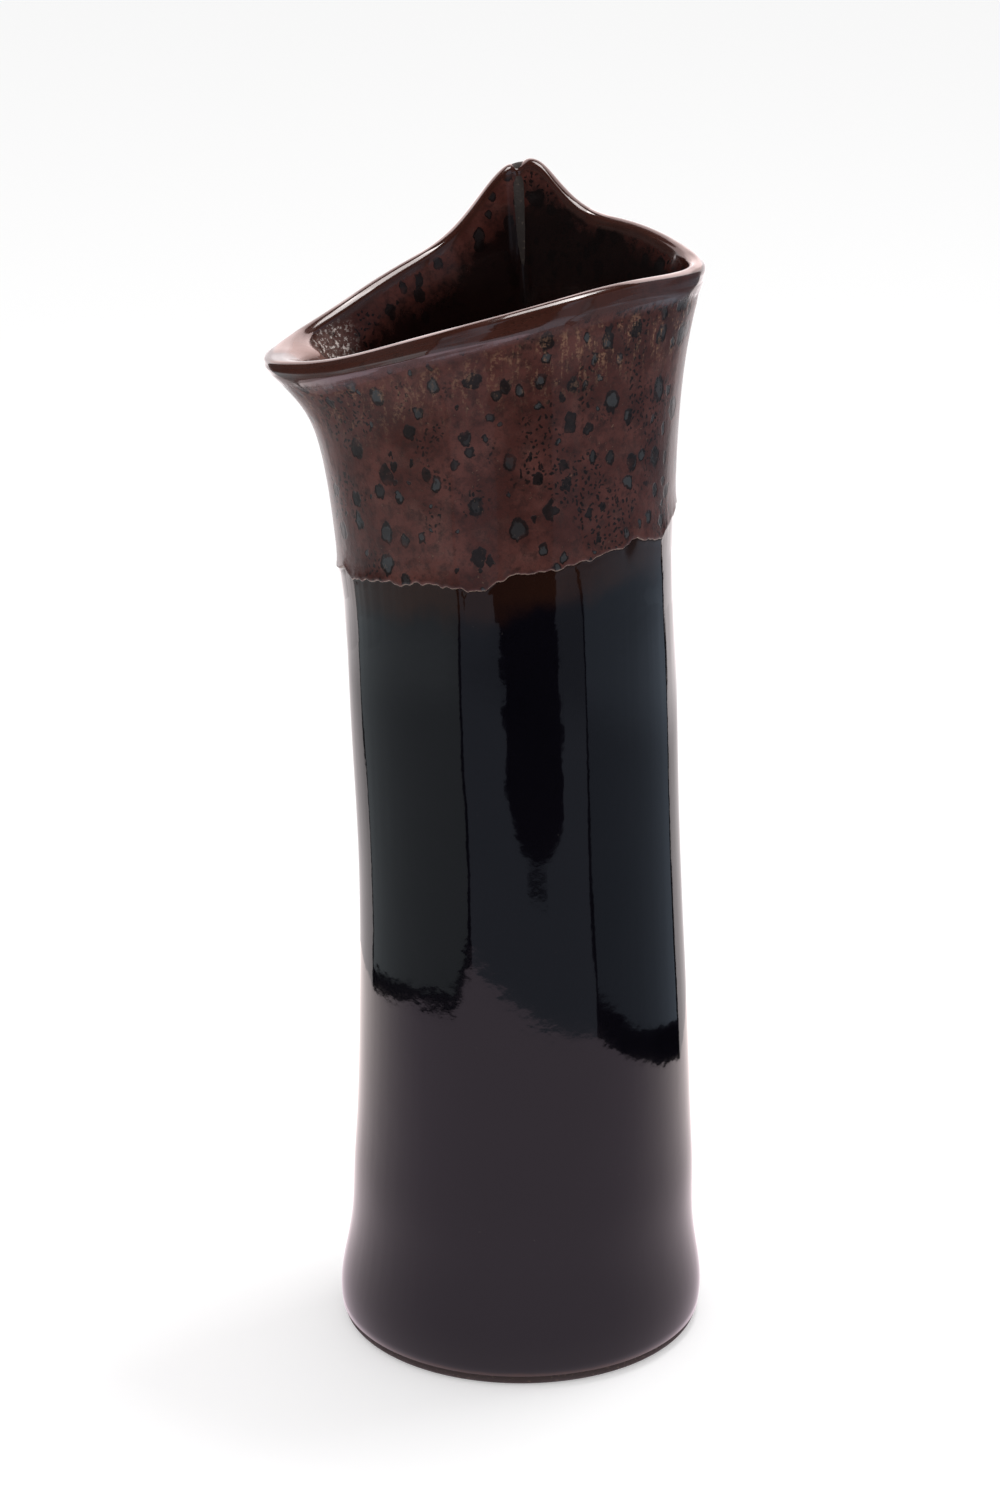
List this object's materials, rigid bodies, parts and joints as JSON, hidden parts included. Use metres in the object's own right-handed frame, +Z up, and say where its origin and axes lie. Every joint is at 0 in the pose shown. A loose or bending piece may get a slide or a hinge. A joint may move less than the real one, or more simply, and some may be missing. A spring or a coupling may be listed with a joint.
{
  "type": "sake bottle",
  "caption": "Slab-built stoneware sake bottle with a three-cornered flared mouth, a long pouring lip and a dipped glaze band.",
  "frame": {"origin": "centre of the flat foot, on the ground", "axes": "+Z up the bottle; -X towards the long pouring lip; +Y towards the tall pinched corner"},
  "size_m": [0.0722, 0.0639, 0.1934],
  "materials": {
    "bare_clay": "fired dark stoneware, matt, seen at the foot bevel and underneath",
    "black_glaze": "glossy black, faintly rippled",
    "liner_glaze": "glossy dark brown-black inside coat",
    "iron_glaze": "satin reddish brown with dark oil spots and pale flecks near the lip"
  },
  "bodies": {
    "root": {"floor_slab": "bare_clay", "wall_slab": "bare_clay", "floor_coil": "bare_clay", "black_glaze": "black_glaze", "liner_glaze": "liner_glaze", "iron_glaze": "iron_glaze"}
  },
  "joints": []
}
